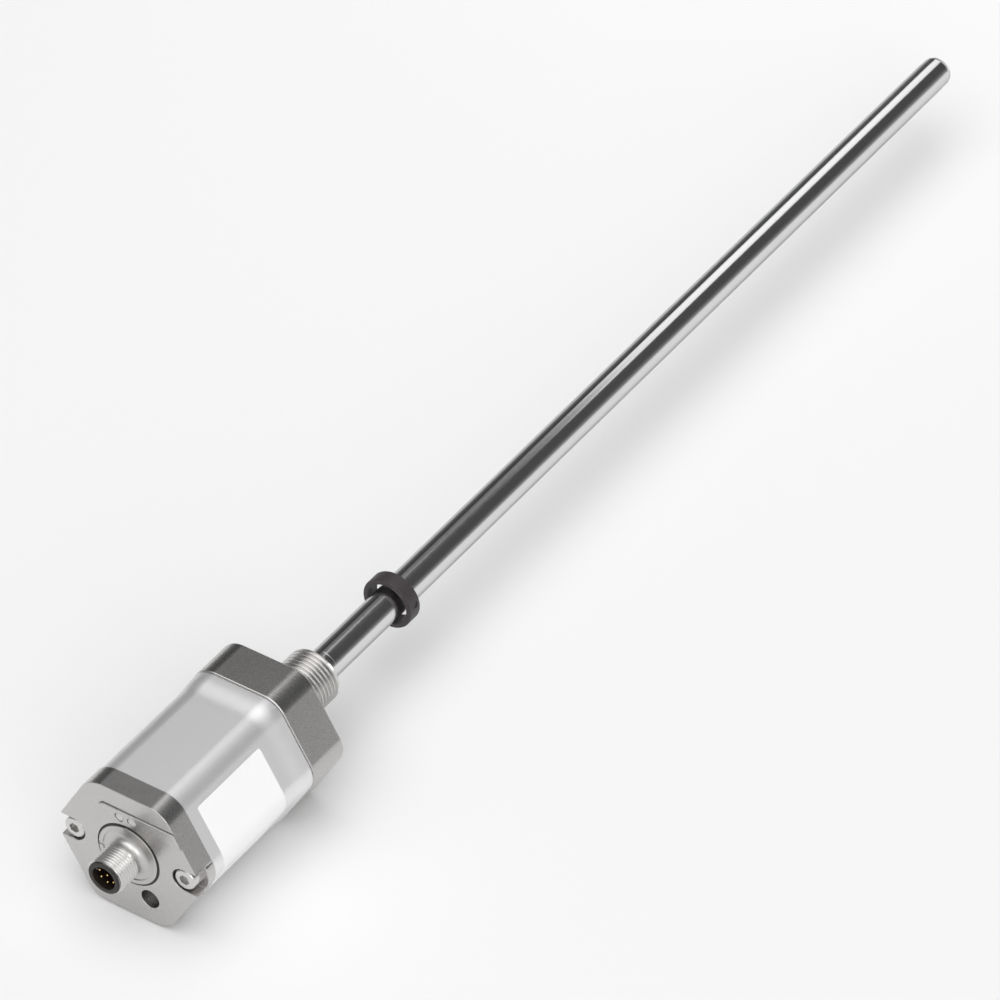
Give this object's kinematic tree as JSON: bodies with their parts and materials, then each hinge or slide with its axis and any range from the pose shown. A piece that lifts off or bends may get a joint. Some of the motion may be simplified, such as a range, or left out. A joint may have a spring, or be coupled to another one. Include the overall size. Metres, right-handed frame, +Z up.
{
  "type": "magnetostrictive position sensor",
  "caption": "Rod-style linear position sensor: hexagonal head with round plug connector, threaded stud, long polished probe rod and a sliding ring magnet.",
  "frame": {"origin": "centre of the flange's mounting face, on the rod's axis", "axes": "+X along the rod towards its tip, +Z up, normal to a flat of the hexagon"},
  "size_m": [0.4448, 0.0506, 0.046],
  "materials": {
    "steel_flange": "fine turned and milled stainless steel",
    "polished_steel": "mirror polished stainless steel",
    "anodised_housing": "fine satin, bead blasted and clear anodised",
    "plated_metal": "nickel plated, semi bright",
    "screw_steel": "bright stainless",
    "gold": "gold plated",
    "seal_rubber": "smooth black rubber",
    "black_plastic": "moulded black plastic",
    "magnet_compound": "matte moulded ferrite compound",
    "light_pipe": "clear frosted plastic",
    "label_film": "white satin film",
    "board_green": "solder resist",
    "chip_black": "moulded",
    "led_body": "moulded",
    "capacitor_can": "drawn can",
    "flex_film": "amber film",
    "carrier_plastic": "moulded",
    "bobbin_plastic": "moulded",
    "copper_wire": "enamelled winding",
    "magnet_metal": "sintered",
    "tinplate": "tinned sheet",
    "waveguide_alloy": "drawn wire",
    "brass_part": "turned",
    "white_polymer": "extruded",
    "red_insulation": "enamel",
    "damping_rubber": "soft silicone"
  },
  "bodies": {
    "sensor": {"mounting_flange": "steel_flange", "probe_tube": "polished_steel", "tube_end_plug": "polished_steel", "housing_sleeve": "anodised_housing", "front_cover": "anodised_housing", "tie_screws": "screw_steel", "rear_gasket": "seal_rubber", "front_gasket": "seal_rubber", "connector_shell": "plated_metal", "connector_insert": "black_plastic", "connector_pins": "gold", "connector_seal": "seal_rubber", "connector_nut": "plated_metal", "connector_board": "board_green", "light_pipes": "light_pipe", "rating_label": "label_film", "main_board": "board_green", "power_board": "board_green", "board_header": "chip_black", "processor_chip": "chip_black", "signal_chips": "chip_black", "status_leds": "led_body", "power_inductor": "magnet_metal", "power_capacitors": "capacitor_can", "connector_flex": "flex_film", "head_flex": "flex_film", "head_carrier": "carrier_plastic", "pickup_bobbin": "bobbin_plastic", "pickup_coil": "copper_wire", "bias_magnet": "magnet_metal", "shield_can": "tinplate", "waveguide": "waveguide_alloy", "waveguide_clamp": "brass_part", "waveguide_sleeve": "white_polymer", "return_conductor": "red_insulation", "centring_spacers": "white_polymer", "damping_element": "damping_rubber", "end_terminal": "brass_part"},
    "magnet": {"position_magnet": "magnet_compound"}
  },
  "joints": [
    {"name": "magnet_slide", "type": "slide", "parent": "sensor", "child": "magnet", "axis": [1, 0, 0], "range_m": [-0.03, 0.27]}
  ]
}
